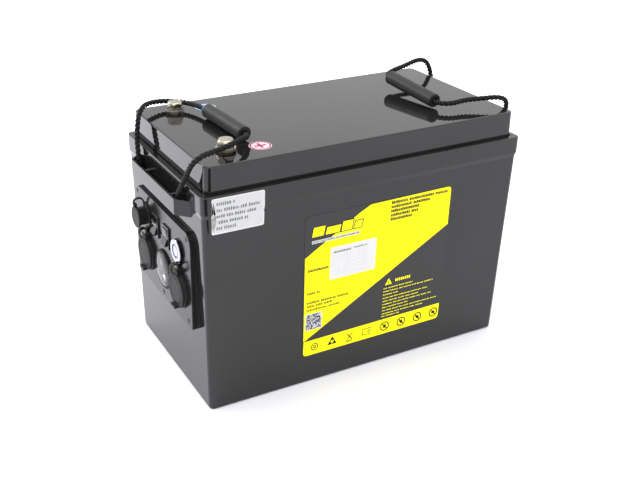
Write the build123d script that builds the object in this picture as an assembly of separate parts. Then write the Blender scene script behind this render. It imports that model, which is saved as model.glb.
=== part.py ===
from build123d import *
import os
from math import atan2, cos, degrees, pi, radians, sin, tan

# Deep cycle battery in a moulded case, with two rope handles and a socket panel on one end.
# Millimetres. +Z is up, -Y is the labelled front, -X is the end with the socket panel.
# The origin is the centre of the case's underside.

# ---- driving dimensions ----
RIM_LENGTH = 324.0
RIM_WIDTH = 175.5
RIM_TOP_Z = 207.5
RIM_FACE_BOTTOM_Z = 192.0
RIM_BOTTOM_Z = 188.0
RIM_STEP = 1.0
DRAFT_X = 3.6
DRAFT_Y = 2.1
CASE_CORNER_R = 5.0
FLOOR_Z = 5.0
SILL_Z = 199.0
CASE_WALL_TOP = 6.5
CASE_WALL_BASE = 6.0
RIM_EDGE_R = 0.8
BASE_EDGE_R = 2.0

LID_TOP_Z = 231.0
LID_INSET = 5.7
LID_WALL = 4.0
LID_CORNER_R = 5.5
LID_EDGE_R = 1.2
LID_TAPER = 0.5
LID_BOSS_R = 13.0
LID_BOSS_DROP = 7.0
SEAM_GAP = 0.8
SEAL_THICKNESS = 1.0

TROUGH_Y = 50.5
TROUGH_FOOT_Y = 61.5
TROUGH_OUT = 9.5
TROUGH_WALL = 2.0
TROUGH_BOTTOM_Z = 180.8
TROUGH_TOP_Z = 195.0

ROPE_R = 2.5
GRIP_R = 6.5
GRIP_BORE_R = 3.2
GRIP_LENGTH = 70.0
PIVOT_X = 165.8
PIVOT_Y = 47.0
PIVOT_Z = 198.0
ANCHOR_TOP_Z = 195.3
ANCHOR_LOW_Z = 185.6
PIN_R = 1.5
PIN_Y = 30.0
PIN_Z = 189.8

TERMINAL_X = -125.5
TERMINAL_Y = 55.0
MARK_X = -94.5
MARK_Y = 56.6
THREAD_R = 4.0
BOLT_CLEARANCE = 0.05

PANEL_FACE_X = -164.7
PANEL_LAND_X = -160.6
PANEL_GASKET = 0.6
PANEL_WIDTH = 132.0
PANEL_BOTTOM_Z = 74.0
PANEL_TOP_Z = 165.5
PANEL_TOP_CORNER_R = 12.0
PANEL_BOTTOM_CORNER_R = 3.5
PANEL_SCREW_Y = 58.5
PANEL_SCREW_TOP_INSET = 5.5
PANEL_SCREW_BOTTOM_INSET = 7.0
WINDOW_WIDTH = 116.0
WINDOW_HEIGHT = 72.0

UPPER_ROW_Z = 142.8
BUTTON_Z = 140.6
BUTTON_Y = -38.4
ROCKER_Y = {"near": -12.8, "far": 12.8}
PORT_Y = 38.4
SOCKET_AT = {"near": (-40.5, 104.0), "far": (37.2, 104.8)}
METER_AT = (-3.4, 106.2)

CELL_COUNT = 4
CELL_SIZE = (50.0, 148.0, 160.0)
CELL_PITCH = 51.5
CELL_START_X = -62.0
PAD_THICKNESS = 4.0

# ---- labels: films on the front wall and the lid ----
LABEL_FILM = 0.25
LABEL_X0 = -66.5
LABEL_X1 = 87.0
LABEL_Z0 = 28.5
LABEL_Z1 = 171.5
LABEL_CORNER = 4.0
SPEC_X0 = -40.0
SPEC_X1 = 7.8
SPEC_Z0 = 104.3
SPEC_Z1 = 136.3
SEAL_STICKER_FILM = 0.2
SEAL_STICKER_X0 = -153.8
SEAL_STICKER_X1 = -106.0
SEAL_STICKER_Z0 = 173.5
SEAL_STICKER_Z1 = 205.8
MARK_R = 9.8
MARK_FILM = 0.2

# ---- terminals ----
INSERT_RISE = 2.0
INSERT_NECK_R = 6.2
INSERT_BARREL_R = 8.0
INSERT_BOTTOM_Z = 208.0
INSERT_BORE_DEPTH = 18.0
FLAT_WASHER = 1.6
FLAT_WASHER_R = 8.6
SPRING_WASHER = 2.0
SPRING_WASHER_R = 7.3
BOLT_HEAD = 5.3
BOLT_FLATS = 13.0
BOLT_LENGTH = 18.0

# ---- panel fittings ----
SCREW_HEAD_R = 2.6
SCREW_HEAD_DEPTH = 1.8
SCREW_SHANK_R = 1.6
FITTING_BARREL_R = 14.2
NUT_R = 16.6
NUT_THICKNESS = 7.0
FLANGE_R = 17.2
FLANGE_THICKNESS = 1.4
STRAP_R = 17.4
STRAP_THICKNESS = 1.2
MOUTH_R = 11.6
SLEEVE_BORE_R = 10.55
SLEEVE_TOP = 5.0
SOCKET_DEPTH = 42.0
CONTACT_STEM_R = 2.5
CONTACT_R = 4.5
BLADE = (6.3, 0.8)
CAP_R = 16.5
CAP_BACK = 3.0
CAP_FRONT = 4.9
CAP_LIP = 3.0
CAP_EDGE_R = 1.2
CAP_TAB = (9.0, 6.0)
CAP_GROOVE = (12.6, 11.8)
CAP_GROOVE_DEPTH = 0.4
CAP_PLUG_R = 10.8
CAP_PLUG_DEPTH = 4.0
METER_R = 18.6
METER_FRONT = 1.8
METER_LENS_R = 16.2
METER_LENS_BACK = 0.6
METER_DEPTH = 24.0
METER_CAVITY_R = 12.5
METER_DISPLAY_R = 12.3
BUTTON_BARREL_R = 9.4
BUTTON_FLANGE_R = 10.8
BUTTON_FLANGE = 2.8
BUTTON_DEPTH = 26.0
BUTTON_WELL_FLOOR = 3.0
BUTTON_STEM_R = 2.2
SPRING_R = 3.4
SPRING_WIRE_R = 0.5
SPRING_PITCH = 2.6
SPRING_TOP = 6.8
LIGHT_RING_R = 6.6
BUTTON_CAP_R = 5.2
ROCKER_BEZEL = (15.0, 21.0)
ROCKER_BODY = (13.0, 19.0)
ROCKER_WELL = (10.6, 17.0)
ROCKER_PADDLE_WIDTH = 10.0
ROCKER_FRAME = 1.6
ROCKER_PIVOT_OUT = -1.0
ROCKER_ANGLE = 9.0
PORT_FLANGE_R = 12.6
PORT_FLANGE = 1.6
PORT_NOSE_R = 8.6
PORT_NOSE = 8.2
PORT_BARREL_R = 10.0
PORT_DEPTH = 14.0
PORT_WELL_R = 6.4
PORT_WELL_FLOOR = 2.0
PORT_PIN_OFFSET = 4.4
PORT_PIN_R = 1.2
PORT_CAP_R = 10.4
PORT_CAP_BACK = 8.5
PORT_PLUG_R = 5.9
PORT_PLUG_TIP = 7.0
PORT_CAP_FRONT = 10.8

# ---- inside ----
STUD_Y = 50.0
BOARD_X0 = -20.0
BOARD_Z = 178.0
CABLE_Z = 192.0
CABLE_R = 4.0
CABLE_BEND = 12.0

# ---- rope handles: each route runs from the near trough mouth through the grip to the far one ----
LEFT_GRIP = ((-101.8, -41.9, 237.9), (-104.6, 28.0, 237.9))
LEFT_ROUTE = [
    (-PIVOT_X, -PIVOT_Y, PIVOT_Z),
    (-165.7, -54.0, 206.6),
    (-164.9, -59.2, 214.6),
    (-164.0, -65.2, 223.0),
    (-163.3, -72.1, 232.3),
    (-155.5, -75.2, 239.0),
    (-145.2, -71.3, 238.6),
    (-135.0, -67.2, 238.8),
    (-124.0, -67.9, 241.6),
    (-113.2, -58.9, 240.9),
    (-101.52, -49.0, 237.9),
    (-105.0, 38.0, 237.9),
    (-109.0, 54.0, 237.4),
    (-117.5, 68.5, 236.9),
    (-131.0, 74.2, 237.4),
    (-145.0, 69.0, 239.0),
    (-155.2, 59.6, 239.7),
    (-161.6, 54.2, 232.8),
    (-163.8, 51.8, 223.5),
    (-164.8, 51.9, 214.6),
    (-165.6, 49.0, 206.2),
    (-PIVOT_X, PIVOT_Y, PIVOT_Z),
]
RIGHT_GRIP = ((94.6, -41.9, 238.4), (91.9, 28.0, 243.0))
RIGHT_ROUTE = [
    (PIVOT_X, -PIVOT_Y, PIVOT_Z),
    (165.7, -52.6, 206.2),
    (164.8, -57.4, 215.4),
    (163.8, -61.2, 225.8),
    (160.4, -64.6, 236.2),
    (150.5, -65.4, 241.0),
    (136.5, -59.8, 240.2),
    (120.0, -53.6, 239.0),
    (105.0, -55.2, 238.2),
    (94.4, -48.6, 237.95),
    (91.68, 34.0, 243.4),
    (102.0, 41.0, 244.6),
    (122.0, 46.5, 246.0),
    (141.0, 52.0, 248.6),
    (153.5, 55.0, 245.6),
    (160.9, 57.0, 236.6),
    (163.4, 56.2, 226.0),
    (164.6, 54.2, 216.2),
    (165.7, 50.4, 206.4),
    (PIVOT_X, PIVOT_Y, PIVOT_Z),
]

# ---- derived sizes ----
WALL_LENGTH = RIM_LENGTH - 2 * RIM_STEP
WALL_WIDTH = RIM_WIDTH - 2 * RIM_STEP
BASE_LENGTH = WALL_LENGTH - 2 * DRAFT_X
BASE_WIDTH = WALL_WIDTH - 2 * DRAFT_Y
LID_LENGTH = RIM_LENGTH - 2 * LID_INSET
LID_WIDTH = RIM_WIDTH - 2 * LID_INSET
PANEL_BACK_X = PANEL_LAND_X - PANEL_GASKET
PANEL_THICKNESS = PANEL_BACK_X - PANEL_FACE_X
PANEL_MID_Z = (PANEL_BOTTOM_Z + PANEL_TOP_Z) / 2
PANEL_HEIGHT = PANEL_TOP_Z - PANEL_BOTTOM_Z
FRONT_LEAN = degrees(atan2(DRAFT_Y, RIM_BOTTOM_Z))
CELL_BOTTOM_Z = FLOOR_Z + PAD_THICKNESS
CELL_TOP_Z = CELL_BOTTOM_Z + CELL_SIZE[2]

parts = {}


# ---- shape helpers ----
def slab(x0, x1, y0, y1, z0, z1):
    """A box between two corners."""
    return Pos((x0 + x1) / 2, (y0 + y1) / 2, (z0 + z1) / 2) * Box(abs(x1 - x0), abs(y1 - y0), abs(z1 - z0))


def upright(length, width, corner, z0, z1):
    """A rounded rectangle raised from z0 to z1."""
    return extrude(Pos(0, 0, z0) * RectangleRounded(length, width, corner), z1 - z0)


def tapered(low, high, z0, z1, corner):
    """A loft between two rounded rectangles given as (length, width)."""
    bottom = Pos(0, 0, z0) * RectangleRounded(low[0], low[1], corner)
    top = Pos(0, 0, z1) * RectangleRounded(high[0], high[1], corner)
    return loft([bottom, top])


def drum(r, y, z, out_low, out_high):
    """A cylinder along X on the panel, between two distances out of the panel's face."""
    x = PANEL_FACE_X - (out_low + out_high) / 2
    return Pos(x, y, z) * Rot(0, 90, 0) * Cylinder(r, out_high - out_low)


def drum_ring(r_out, r_in, y, z, out_low, out_high):
    """A tube along X on the panel."""
    return drum(r_out, y, z, out_low, out_high) - drum(r_in, y, z, out_low - 1, out_high + 1)


def panel_box(width, height, y, z, out_low, out_high):
    """A box on the panel, between two distances out of its face."""
    x0 = PANEL_FACE_X - out_high
    x1 = PANEL_FACE_X - out_low
    return slab(x0, x1, y - width / 2, y + width / 2, z - height / 2, z + height / 2)


def panel_slab(inset, x0, x1):
    """The panel's outline, drawn in by an inset, between two X values."""
    outline = Rectangle(PANEL_WIDTH - 2 * inset, PANEL_HEIGHT - 2 * inset)
    outline = fillet(outline.vertices().group_by(Axis.Y)[-1], PANEL_TOP_CORNER_R - inset)
    outline = fillet(outline.vertices().group_by(Axis.Y)[0], PANEL_BOTTOM_CORNER_R - inset)
    sheet = Plane(origin=(x0, 0, PANEL_MID_Z), x_dir=(0, 1, 0), z_dir=(1, 0, 0))
    return extrude(sheet * outline, x1 - x0)


def hex_prism(across_flats, z0, z1):
    """A hexagon bar along Z."""
    return extrude(Pos(0, 0, z0) * RegularPolygon(across_flats / 2, 6, major_radius=False), z1 - z0)


def window_block(x0, x1):
    """The opening in the end wall that the panel's fittings pass through."""
    return slab(x0, x1, -WINDOW_WIDTH / 2, WINDOW_WIDTH / 2,
                PANEL_MID_Z - WINDOW_HEIGHT / 2, PANEL_MID_Z + WINDOW_HEIGHT / 2)


# ---- case ----
def trough(side):
    """The open-topped bracket on an end wall that the rope handle is held in."""
    foot_x = RIM_LENGTH / 2 - 3
    wall_x = RIM_LENGTH / 2 - RIM_STEP
    out_x = RIM_LENGTH / 2 + TROUGH_OUT
    outline = [
        (foot_x, -TROUGH_FOOT_Y),
        (wall_x, -TROUGH_FOOT_Y),
        (out_x, -TROUGH_Y),
        (out_x, TROUGH_Y),
        (wall_x, TROUGH_FOOT_Y),
        (foot_x, TROUGH_FOOT_Y),
    ]
    body = extrude(Pos(0, 0, TROUGH_BOTTOM_Z) * make_face(Polyline(*outline, close=True)),
                   TROUGH_TOP_Z - TROUGH_BOTTOM_Z)
    inner_out = out_x - TROUGH_WALL
    rim_x = RIM_LENGTH / 2
    inner = [
        (rim_x, -TROUGH_FOOT_Y + TROUGH_WALL),
        (inner_out, -TROUGH_Y + TROUGH_WALL / 2),
        (inner_out, TROUGH_Y - TROUGH_WALL / 2),
        (rim_x, TROUGH_FOOT_Y - TROUGH_WALL),
    ]
    hollow = extrude(Pos(0, 0, TROUGH_BOTTOM_Z + TROUGH_WALL) * make_face(Polyline(*inner, close=True)),
                     TROUGH_TOP_Z)
    bracket = body - hollow
    return bracket if side > 0 else mirror(bracket, Plane.YZ)


def pin_shapes():
    """Four steel pins that hold the ropes down in the troughs."""
    low_x = RIM_LENGTH / 2 - 3
    high_x = RIM_LENGTH / 2 + TROUGH_OUT - 1
    pins = []
    for side in (-1, 1):
        for y in (-PIN_Y, PIN_Y):
            middle = side * (low_x + high_x) / 2
            pins.append(Pos(middle, y, PIN_Z) * Rot(0, 90, 0) * Cylinder(PIN_R, high_x - low_x))
    return pins


def make_container():
    """The lower case: drafted walls, rim collar, end troughs and the panel's window."""
    shell = tapered((BASE_LENGTH, BASE_WIDTH), (WALL_LENGTH, WALL_WIDTH), 0, RIM_BOTTOM_Z, CASE_CORNER_R)
    shell += tapered((WALL_LENGTH, WALL_WIDTH), (RIM_LENGTH, RIM_WIDTH), RIM_BOTTOM_Z, RIM_FACE_BOTTOM_Z,
                     CASE_CORNER_R)
    shell += upright(RIM_LENGTH, RIM_WIDTH, CASE_CORNER_R, RIM_FACE_BOTTOM_Z, RIM_TOP_Z)
    shell = fillet(shell.edges().group_by(Axis.Z)[-1], RIM_EDGE_R)
    shell = fillet(shell.edges().group_by(Axis.Z)[0], BASE_EDGE_R)
    shell += panel_slab(0, PANEL_LAND_X, -150)
    for side in (-1, 1):
        shell += trough(side)
    shell -= tapered(
        (BASE_LENGTH - 2 * CASE_WALL_BASE, BASE_WIDTH - 2 * CASE_WALL_BASE),
        (WALL_LENGTH - 2 * CASE_WALL_TOP, WALL_WIDTH - 2 * CASE_WALL_TOP),
        FLOOR_Z, RIM_TOP_Z + 1, 2.0)
    rebate = (LID_LENGTH + 2 * SEAM_GAP, LID_WIDTH + 2 * SEAM_GAP)
    shell -= upright(rebate[0], rebate[1], LID_CORNER_R + SEAM_GAP, SILL_Z, RIM_TOP_Z + 1)
    shell -= window_block(-170, -140)
    for pin in pin_shapes():
        shell -= pin
    for y, z in screw_places():
        shell -= Pos(PANEL_LAND_X + 4, y, z) * Rot(0, 90, 0) * Cylinder(1.4, 14)
    return shell


def make_lid():
    """The lid: a shallow box that plugs into the rim, with two terminal holes."""
    body = tapered((LID_LENGTH, LID_WIDTH), (LID_LENGTH - 2 * LID_TAPER, LID_WIDTH - 2 * LID_TAPER),
                   SILL_Z + SEAL_THICKNESS, LID_TOP_Z, LID_CORNER_R)
    body = fillet(body.edges().group_by(Axis.Z)[-1], LID_EDGE_R)
    body -= upright(LID_LENGTH - 2 * LID_WALL, LID_WIDTH - 2 * LID_WALL, 1.5, 0, LID_TOP_Z - LID_WALL)
    for y in (-TERMINAL_Y, TERMINAL_Y):
        body += Pos(TERMINAL_X, y, LID_TOP_Z - LID_BOSS_DROP) * Cylinder(LID_BOSS_R, 8)
        body -= Pos(TERMINAL_X, y, LID_TOP_Z) * Cylinder(INSERT_NECK_R, 40)
        body -= Pos(TERMINAL_X, y, LID_TOP_Z - LID_WALL - 10) * Cylinder(INSERT_BARREL_R, 20)
    return body


def make_lid_seal():
    """The bead of sealant that the lid's skirt sits on."""
    outer = upright(LID_LENGTH, LID_WIDTH, LID_CORNER_R, SILL_Z, SILL_Z + SEAL_THICKNESS)
    bead_width = 1.6
    inner = upright(LID_LENGTH - 2 * bead_width, LID_WIDTH - 2 * bead_width, LID_CORNER_R - bead_width,
                    SILL_Z - 1, SILL_Z + SEAL_THICKNESS + 1)
    return outer - inner


# ---- labels ----
def front_sheet(thickness, x0, x1, z0, z1, corner, lift=0.0):
    """A film on the leaning front wall, between two X values and two heights."""
    lean = radians(FRONT_LEAN)
    width = x1 - x0
    height = (z1 - z0) / cos(lean)
    middle_z = (z0 + z1) / 2
    wall_y = -BASE_WIDTH / 2 - middle_z * tan(lean) - lift
    sheet = Plane(origin=((x0 + x1) / 2, wall_y, middle_z), x_dir=(1, 0, 0),
                  z_dir=(0, -cos(lean), -sin(lean)))
    return extrude(sheet * RectangleRounded(width, height, corner), thickness)


def make_front_label():
    """The large printed label on the front wall."""
    return front_sheet(LABEL_FILM, LABEL_X0, LABEL_X1, LABEL_Z0, LABEL_Z1, LABEL_CORNER)


def make_spec_sticker():
    """The small data sticker on top of the front label."""
    return front_sheet(LABEL_FILM, SPEC_X0, SPEC_X1, SPEC_Z0, SPEC_Z1, 1.0, lift=LABEL_FILM + 0.01)


def make_seal_sticker():
    """The tamper sticker that bridges the rim collar and the wall under it."""
    film = SEAL_STICKER_FILM
    lean = tan(radians(FRONT_LEAN))
    rim_y = -RIM_WIDTH / 2
    wall_y = -WALL_WIDTH / 2
    low_y = wall_y + (RIM_BOTTOM_Z - SEAL_STICKER_Z0) * lean
    profile = [
        (rim_y, SEAL_STICKER_Z1),
        (rim_y, RIM_FACE_BOTTOM_Z),
        (wall_y, RIM_BOTTOM_Z),
        (low_y, SEAL_STICKER_Z0),
        (low_y - film, SEAL_STICKER_Z0),
        (wall_y - film, RIM_BOTTOM_Z),
        (rim_y - film, RIM_FACE_BOTTOM_Z),
        (rim_y - film, SEAL_STICKER_Z1),
    ]
    side = Plane(origin=(SEAL_STICKER_X0, 0, 0), x_dir=(0, 1, 0), z_dir=(1, 0, 0))
    return extrude(side * make_face(Polyline(*profile, close=True)), SEAL_STICKER_X1 - SEAL_STICKER_X0)


def polarity_mark(y):
    """A printed disc beside a terminal."""
    return Pos(MARK_X, y, LID_TOP_Z + MARK_FILM / 2) * Cylinder(MARK_R, MARK_FILM)


# ---- terminals ----
def terminal_insert(y):
    """A tinned brass bush held under the lid, with a neck through it and a blind threaded bore."""
    barrel_top = LID_TOP_Z - LID_WALL
    depth = barrel_top - INSERT_BOTTOM_Z
    bush = Pos(0, 0, barrel_top - depth / 2) * Cylinder(INSERT_BARREL_R, depth)
    neck = LID_WALL + INSERT_RISE
    bush += Pos(0, 0, barrel_top + neck / 2) * Cylinder(INSERT_NECK_R, neck)
    bore = INSERT_BORE_DEPTH
    bush -= Pos(0, 0, LID_TOP_Z + INSERT_RISE - bore / 2) * Cylinder(THREAD_R, bore)
    bush = chamfer(bush.edges().group_by(Axis.Z)[-1], 0.3)
    return Pos(TERMINAL_X, y, 0) * bush


def terminal_washers(y):
    """A flat washer and a split spring washer."""
    z = LID_TOP_Z + INSERT_RISE
    hole_r = THREAD_R + 0.2
    flat = Pos(0, 0, z + FLAT_WASHER / 2) * (Cylinder(FLAT_WASHER_R, FLAT_WASHER) - Cylinder(hole_r, FLAT_WASHER))
    z += FLAT_WASHER
    ring = Cylinder(SPRING_WASHER_R, SPRING_WASHER) - Cylinder(hole_r, SPRING_WASHER)
    split = Pos(0, 0, z + SPRING_WASHER / 2) * ring
    split -= Pos(6, 0, z + SPRING_WASHER / 2) * Rot(25, 0, 0) * Box(6, 0.8, 6)
    return [Pos(TERMINAL_X, y, 0) * flat, Pos(TERMINAL_X, y, 0) * split]


def terminal_bolt(y):
    """An M8 hexagon bolt."""
    seat = LID_TOP_Z + INSERT_RISE + FLAT_WASHER + SPRING_WASHER
    head = hex_prism(BOLT_FLATS, seat, seat + BOLT_HEAD)
    crown = Pos(0, 0, seat + BOLT_HEAD - 4) * Cone(11.5, 6.0, 8)
    head = head & (crown + Pos(0, 0, seat) * Cylinder(9, 6))
    shank = Pos(0, 0, seat - BOLT_LENGTH / 2) * Cylinder(THREAD_R - BOLT_CLEARANCE, BOLT_LENGTH)
    shank = chamfer(shank.edges().group_by(Axis.Z)[0], 0.8)
    return Pos(TERMINAL_X, y, 0) * (head + shank)


# ---- rope handles ----
def rope_run(points):
    """A tube along straight runs joined by the largest tangent arcs that the runs allow."""
    corners = [Vector(*p) for p in points]
    radii = []
    for before, corner, after in zip(corners, corners[1:], corners[2:]):
        turn = (corner - before).get_angle(after - corner)
        shorter = min((corner - before).length, (after - corner).length)
        radii.append(0.45 * shorter / tan(radians(turn) / 2))
    print("rope radii", [round(r, 1) for r in radii])
    path = FilletPolyline(*points, radius=radii)
    start = Plane(origin=path @ 0, z_dir=path % 0)
    tube = sweep(start * Circle(ROPE_R), path=path)
    section = pi * ROPE_R ** 2
    print("rope length", round(path.length, 1), "volume ratio", round(tube.volume / (section * path.length), 4))
    return tube


def swinging_rope(points):
    """The part of a handle's rope that swings, with a round knuckle at each trough mouth."""
    rope = rope_run(points)
    for end in (points[0], points[-1]):
        rope += Pos(*end) * Sphere(ROPE_R)
    return rope


def anchored_rope(side):
    """The part of a handle's rope that lies in its trough, under the pins."""
    x = side * PIVOT_X
    bend = 6.0
    path = FilletPolyline(
        (x, -PIVOT_Y, ANCHOR_TOP_Z),
        (x, -PIVOT_Y, ANCHOR_LOW_Z),
        (x, PIVOT_Y, ANCHOR_LOW_Z),
        (x, PIVOT_Y, ANCHOR_TOP_Z),
        radius=bend)
    start = Plane(origin=path @ 0, z_dir=path % 0)
    return sweep(start * Circle(ROPE_R), path=path)


def make_grip(near_end, far_end):
    """A rubber tube that the rope runs through."""
    near = Vector(*near_end)
    along = (Vector(*far_end) - near).normalized()
    middle = near + along * ((Vector(*far_end) - near).length / 2)
    tube = Cylinder(GRIP_R, GRIP_LENGTH)
    tube = fillet(tube.edges(), 1.2)
    tube -= Cylinder(GRIP_BORE_R, GRIP_LENGTH + 2)
    return Plane(origin=middle, z_dir=along) * tube


# ---- socket panel ----
def screw_places():
    """Y and Z of the panel's screws."""
    top = PANEL_TOP_Z - PANEL_SCREW_TOP_INSET
    bottom = PANEL_BOTTOM_Z + PANEL_SCREW_BOTTOM_INSET
    places = [(y, z) for y in (-PANEL_SCREW_Y, PANEL_SCREW_Y) for z in (top, bottom)]
    places.append((0, bottom))
    return places


def round_fittings():
    """Y and Z of the three large round fittings."""
    return [*SOCKET_AT.values(), METER_AT]


def make_panel_plate():
    """The socket panel, with a hole for each fitting."""
    plate = panel_slab(0, PANEL_FACE_X, PANEL_BACK_X)
    plate = fillet(plate.edges().group_by(Axis.X)[0], 0.6)
    for y, z in round_fittings():
        plate -= drum(FITTING_BARREL_R, y, z, -PANEL_THICKNESS - 1, 1)
    plate -= drum(BUTTON_BARREL_R, BUTTON_Y, BUTTON_Z, -PANEL_THICKNESS - 1, 1)
    plate -= drum(PORT_BARREL_R, PORT_Y, UPPER_ROW_Z, -PANEL_THICKNESS - 1, 1)
    for y in ROCKER_Y.values():
        plate -= panel_box(ROCKER_BODY[0], ROCKER_BODY[1], y, UPPER_ROW_Z, -PANEL_THICKNESS - 1, 1)
    for y, z in screw_places():
        plate -= drum(SCREW_SHANK_R, y, z, -PANEL_THICKNESS - 1, 1)
        plate -= drum(SCREW_HEAD_R, y, z, -SCREW_HEAD_DEPTH, 1)
    return plate


def make_panel_gasket():
    """The flat gasket between the panel and the case."""
    sheet = panel_slab(0.5, PANEL_BACK_X, PANEL_LAND_X)
    sheet -= window_block(PANEL_BACK_X - 1, PANEL_LAND_X + 1)
    for y, z in screw_places():
        sheet -= drum(SCREW_SHANK_R, y, z, -8, 1)
    return sheet


def panel_screw(y, z):
    """A small countersunk-style pan screw sunk in the panel."""
    head = drum(SCREW_HEAD_R, y, z, -SCREW_HEAD_DEPTH, -0.2)
    head -= panel_box(0.7, 3.2, y, z, -0.9, 1)
    head -= panel_box(3.2, 0.7, y, z, -0.9, 1)
    return head + drum(1.4, y, z, -11, -SCREW_HEAD_DEPTH)


def socket_body(y, z):
    """The plastic housing of a lighter socket: flange, mouth and barrel."""
    body = drum(FLANGE_R, y, z, STRAP_THICKNESS, STRAP_THICKNESS + FLANGE_THICKNESS)
    body = fillet(body.edges().group_by(Axis.X)[0], 0.7)
    body += drum(FITTING_BARREL_R, y, z, -SOCKET_DEPTH, STRAP_THICKNESS + 0.5)
    body -= drum(MOUTH_R, y, z, -SOCKET_DEPTH + 2, 10)
    body -= drum(CONTACT_STEM_R, y, z, -SOCKET_DEPTH - 1, -SOCKET_DEPTH + 3)
    return body


def socket_strap(y, z):
    """The rubber ring under the flange that the dust cap hangs from."""
    ring = drum(STRAP_R, y, z, 0, STRAP_THICKNESS)
    ring += panel_box(9, 8, y, z + STRAP_R + 1, 0, STRAP_THICKNESS)
    return ring - drum(FITTING_BARREL_R, y, z, -1, 3)


def socket_sleeve(y, z):
    """The nickel-plated outer contact that lines the socket."""
    return drum_ring(MOUTH_R, SLEEVE_BORE_R, y, z, -SOCKET_DEPTH + 3, -SLEEVE_TOP)


def socket_contact(y, z):
    """The centre contact at the bottom of the socket, with its tab at the back."""
    contact = drum(CONTACT_R, y, z, -SOCKET_DEPTH + 2, -SOCKET_DEPTH + 2.8)
    contact += drum(CONTACT_STEM_R, y, z, -SOCKET_DEPTH - 2, -SOCKET_DEPTH + 2)
    return contact + panel_box(BLADE[0], BLADE[1], y, z, -SOCKET_DEPTH - 9, -SOCKET_DEPTH - 2)


def fitting_nut(y, z):
    """The nylon ring nut behind the panel."""
    return drum_ring(NUT_R, FITTING_BARREL_R, y, z, -PANEL_THICKNESS - NUT_THICKNESS, -PANEL_THICKNESS)


def socket_cap(y, z):
    """The rubber dust cap: a disc with a plug, a hinge tab above and a pull lip below."""
    cap = drum(CAP_R, y, z, CAP_BACK, CAP_FRONT)
    cap = fillet(cap.edges().group_by(Axis.X)[0], CAP_EDGE_R)
    cap -= drum_ring(CAP_GROOVE[0], CAP_GROOVE[1], y, z, CAP_FRONT - CAP_GROOVE_DEPTH, CAP_FRONT + 1)
    cap += drum(CAP_PLUG_R, y, z, CAP_BACK - CAP_PLUG_DEPTH, CAP_BACK)
    cap += panel_box(CAP_TAB[0], CAP_TAB[1], y, z + CAP_R + 0.5, CAP_BACK, CAP_FRONT - 0.8)
    cap += panel_box(CAP_TAB[0], 2.4, y, z - CAP_R + 1.6, CAP_FRONT - 1.4, CAP_FRONT + CAP_LIP)
    return cap


def make_meter_body():
    """The round meter's housing."""
    body = drum(METER_R, *METER_AT, 0, METER_FRONT)
    body = fillet(body.edges().group_by(Axis.X)[0], 0.8)
    body += drum(FITTING_BARREL_R, *METER_AT, -METER_DEPTH, 0)
    body -= drum(METER_LENS_R, *METER_AT, METER_LENS_BACK, METER_FRONT + 1)
    body -= drum(METER_CAVITY_R, *METER_AT, -METER_DEPTH + 1.5, METER_LENS_BACK)
    return body


def make_meter_lens():
    """The clear lens of the meter."""
    lens = drum(METER_LENS_R, *METER_AT, METER_LENS_BACK, METER_FRONT + 0.2)
    return fillet(lens.edges().group_by(Axis.X)[0], 0.6)


def make_meter_display():
    """The meter's display board, behind the lens."""
    board = drum(METER_DISPLAY_R, *METER_AT, -3.6, -2.0)
    return board + panel_box(17, 10, *METER_AT, -2.0, -0.6)


def make_button_body():
    """The steel push switch: flange, threaded barrel and the well for the light ring and button."""
    body = drum(BUTTON_FLANGE_R, BUTTON_Y, BUTTON_Z, 0, BUTTON_FLANGE)
    body = chamfer(body.edges().group_by(Axis.X)[0], 0.5)
    body += drum(BUTTON_BARREL_R, BUTTON_Y, BUTTON_Z, -BUTTON_DEPTH, 0)
    body -= drum(LIGHT_RING_R, BUTTON_Y, BUTTON_Z, -BUTTON_DEPTH + BUTTON_WELL_FLOOR, BUTTON_FLANGE + 1)
    return body


def make_button_ring():
    """The ring that lights up around the button."""
    ring = drum(LIGHT_RING_R, BUTTON_Y, BUTTON_Z, -6, BUTTON_FLANGE - 0.1)
    return ring - drum(BUTTON_CAP_R + 0.1, BUTTON_Y, BUTTON_Z, -7, BUTTON_FLANGE + 1)


def make_button_cap():
    """The button that is pressed, with its stem."""
    cap = drum(BUTTON_CAP_R, BUTTON_Y, BUTTON_Z, -5, BUTTON_FLANGE - 0.3)
    cap = fillet(cap.edges().group_by(Axis.X)[0], 0.5)
    return cap + drum(BUTTON_STEM_R, BUTTON_Y, BUTTON_Z, -12, -5)


def make_button_spring():
    """The return spring under the button, drawn at the length it has when the button is pressed."""
    well_floor = BUTTON_DEPTH - BUTTON_WELL_FLOOR
    length = well_floor - SPRING_TOP - 2 * SPRING_WIRE_R
    coil = Helix(pitch=SPRING_PITCH, height=length, radius=SPRING_R)
    start = Plane(origin=coil @ 0, z_dir=coil % 0)
    wire = sweep(start * Circle(SPRING_WIRE_R), path=coil, is_frenet=True)
    x = PANEL_FACE_X + SPRING_TOP + SPRING_WIRE_R
    return Pos(x, BUTTON_Y, BUTTON_Z) * Rot(0, 90, 0) * wire


def make_button_nut():
    """The hexagon nut behind the panel."""
    nut = extrude(RegularPolygon(11.5, 6, major_radius=False), 3.0) - Cylinder(BUTTON_BARREL_R, 20)
    return Pos(PANEL_BACK_X, BUTTON_Y, BUTTON_Z) * Rot(0, 90, 0) * nut


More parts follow.
